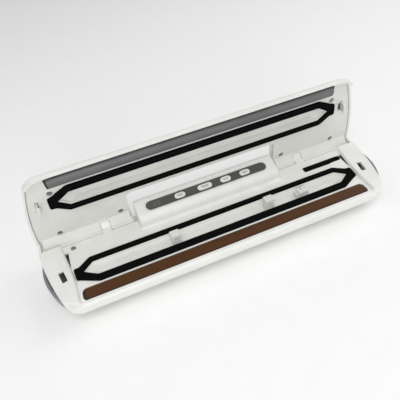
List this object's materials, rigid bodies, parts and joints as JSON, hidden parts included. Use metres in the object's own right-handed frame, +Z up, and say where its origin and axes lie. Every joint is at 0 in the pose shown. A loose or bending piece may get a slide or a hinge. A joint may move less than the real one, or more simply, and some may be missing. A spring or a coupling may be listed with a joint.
{
  "type": "vacuum sealer",
  "caption": "White countertop vacuum bag sealer with its lid standing open over a foam-ringed vacuum trough and a sealing strip.",
  "frame": {"origin": "centre of the open sealer's footprint on the worktop, at the underside of the feet", "axes": "+X to the right along the sealing strip, +Y from the front to the hinge, +Z up; the lid stands open"},
  "size_m": [0.3846, 0.1014, 0.1234],
  "materials": {
    "shell": "satin",
    "inner": "satin",
    "foam": "matte",
    "black_plastic": "matte",
    "silicone": "matte",
    "tape": "satin",
    "grey_plastic": "satin",
    "overlay": "satin",
    "keys": "satin",
    "steel": "satin",
    "copper": "satin",
    "board": "satin",
    "feet": "matte",
    "hose": "satin"
  },
  "bodies": {
    "base": {"base_housing": "shell", "bottom_pan": "shell", "foot_1": "feet", "foot_2": "feet", "foot_3": "feet", "foot_4": "feet", "pan_screw_1": "steel", "pan_screw_2": "steel", "pan_screw_3": "steel", "pan_screw_4": "steel", "deck_screw": "steel", "base_gasket": "foam", "rear_pad": "foam", "heater_carrier": "black_plastic", "heating_strip": "steel", "seal_tape": "tape", "bag_clip_left": "inner", "bag_clip_right": "inner", "air_intake": "inner", "panel_overlay": "overlay", "control_board": "board", "power_board": "board", "transformer": "copper", "pump_motor": "steel", "pump_head": "black_plastic", "vacuum_hose": "hose", "power_inlet": "black_plastic", "micro_switch_right": "black_plastic", "micro_switch_left": "black_plastic", "catch_spring_right": "steel", "catch_spring_left": "steel", "hinge_pin_right": "steel", "hinge_pin_left": "steel"},
    "lid": {"lid_cover": "shell", "lid_frame": "inner", "lid_gasket": "foam", "press_channel": "black_plastic", "press_bar": "silicone", "latch_hook_right": "inner", "latch_hook_left": "inner", "lid_screw_1": "steel", "lid_screw_2": "steel", "lid_screw_3": "steel", "lid_screw_4": "steel", "lid_screw_5": "steel", "lid_screw_6": "steel"},
    "button_right": {"release_button_right": "grey_plastic", "latch_catch_right": "inner"},
    "button_left": {"release_button_left": "grey_plastic", "latch_catch_left": "inner"},
    "key_body_1": {"key_1": "keys"},
    "key_body_2": {"key_2": "keys"},
    "key_body_3": {"key_3": "keys"},
    "key_body_4": {"key_4": "keys"}
  },
  "joints": [
    {"name": "lid_hinge", "type": "hinge", "parent": "base", "child": "lid", "pos_m": [0, 0.04133, 0.0329], "axis": [1, 0, 0], "range_deg": [0, 83.2]},
    {"name": "release_right", "type": "slide", "parent": "base", "child": "button_right", "axis": [-1, 0, 0], "range_m": [0, 0.002], "stiffness_N_per_m": 600, "springref_m": -0.001},
    {"name": "release_left", "type": "slide", "parent": "base", "child": "button_left", "axis": [1, 0, 0], "range_m": [0, 0.002], "stiffness_N_per_m": 600, "springref_m": -0.001},
    {"name": "key_press_1", "type": "slide", "parent": "base", "child": "key_body_1", "axis": [0, 0.3057, -0.9521], "range_m": [0, 0.0006], "stiffness_N_per_m": 800, "springref_m": -0.0005},
    {"name": "key_press_2", "type": "slide", "parent": "base", "child": "key_body_2", "axis": [0, 0.3057, -0.9521], "range_m": [0, 0.0006], "stiffness_N_per_m": 800, "springref_m": -0.0005},
    {"name": "key_press_3", "type": "slide", "parent": "base", "child": "key_body_3", "axis": [0, 0.3057, -0.9521], "range_m": [0, 0.0006], "stiffness_N_per_m": 800, "springref_m": -0.0005},
    {"name": "key_press_4", "type": "slide", "parent": "base", "child": "key_body_4", "axis": [0, 0.3057, -0.9521], "range_m": [0, 0.0006], "stiffness_N_per_m": 800, "springref_m": -0.0005}
  ]
}
